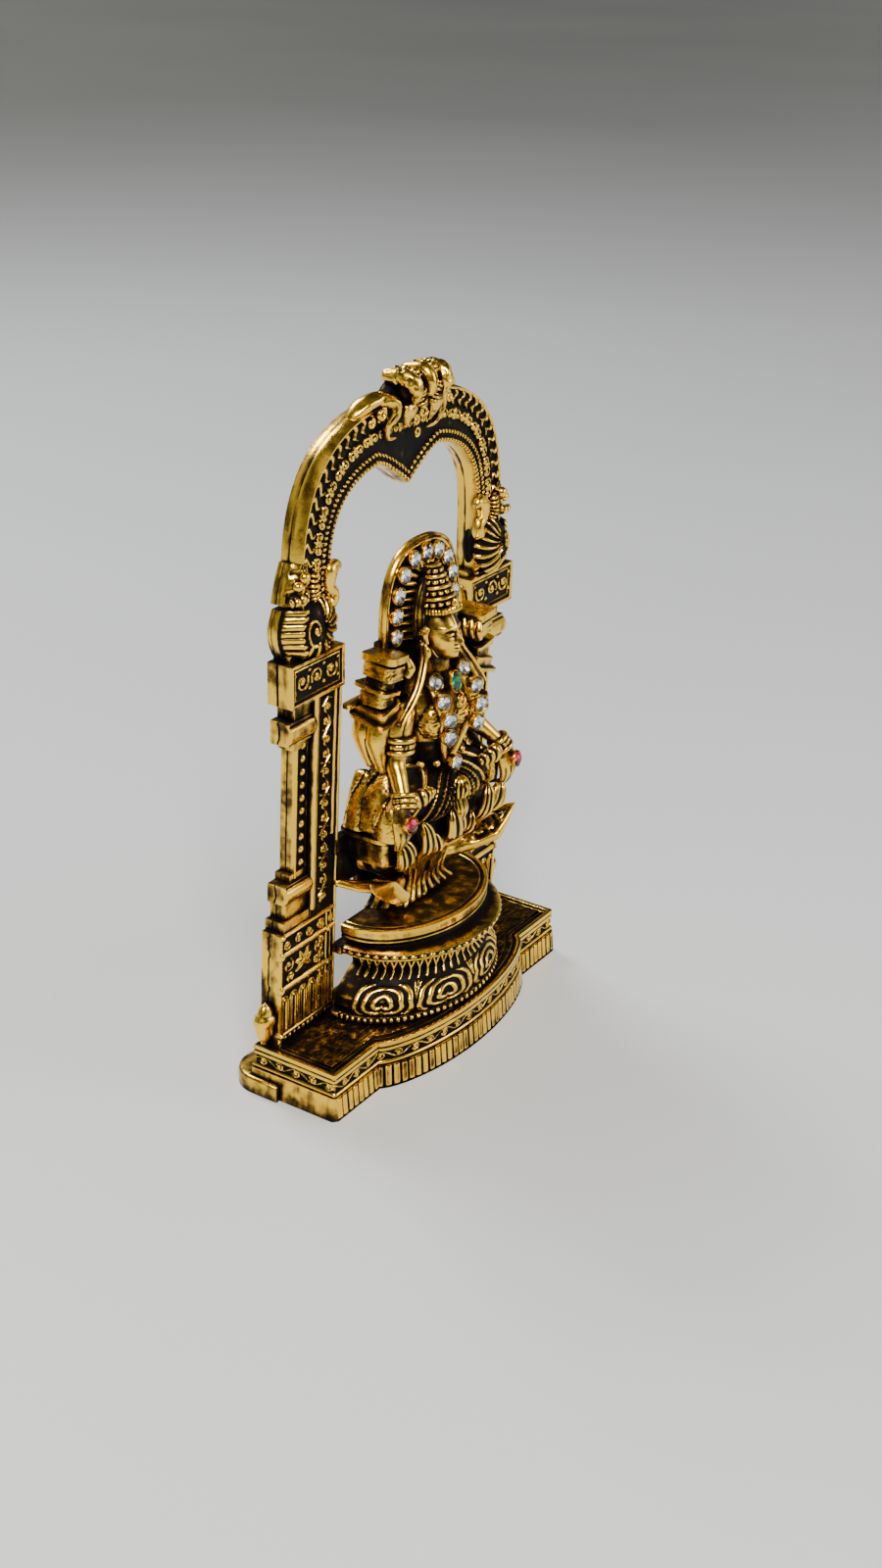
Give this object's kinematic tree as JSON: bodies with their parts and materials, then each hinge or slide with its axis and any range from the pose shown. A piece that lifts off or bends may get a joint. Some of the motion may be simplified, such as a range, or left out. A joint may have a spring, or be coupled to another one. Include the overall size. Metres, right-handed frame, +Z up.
{
  "type": "lakshmi figure",
  "caption": "Small cast metal figure of the seated goddess Lakshmi on a lotus under an open arch, on a stepped, bow-fronted base, set with glass stones.",
  "frame": {"origin": "middle of the footprint, on the surface that the base stands on", "axes": "+Z up, the front of the figure looks along -Y, +X to the right of someone who faces the front"},
  "size_m": [0.056, 0.0214, 0.09],
  "materials": {
    "gold_casting": "antique gold plate on white metal, bright on the raised parts and blackened in the recesses",
    "clear_stone": "faceted clear rhinestone with a silvered back",
    "red_stone": "faceted red glass",
    "green_stone": "smooth dark green glass"
  },
  "bodies": {
    "root": {"figure_and_arch_casting": "gold_casting", "halo_stone_1": "clear_stone", "halo_stone_2": "clear_stone", "halo_stone_3": "clear_stone", "halo_stone_4": "clear_stone", "halo_stone_5": "clear_stone", "halo_stone_6": "clear_stone", "halo_stone_7": "clear_stone", "halo_stone_8": "clear_stone", "halo_stone_9": "clear_stone", "halo_stone_10": "clear_stone", "halo_stone_11": "clear_stone", "necklace_stone_1": "clear_stone", "necklace_stone_2": "clear_stone", "necklace_stone_3": "clear_stone", "necklace_stone_4": "clear_stone", "necklace_stone_5": "clear_stone", "necklace_stone_6": "clear_stone", "necklace_stone_7": "clear_stone", "necklace_stone_8": "clear_stone", "necklace_stone_9": "clear_stone", "palm_stone_left": "red_stone", "palm_stone_right": "red_stone", "throat_stone": "green_stone"}
  },
  "joints": []
}
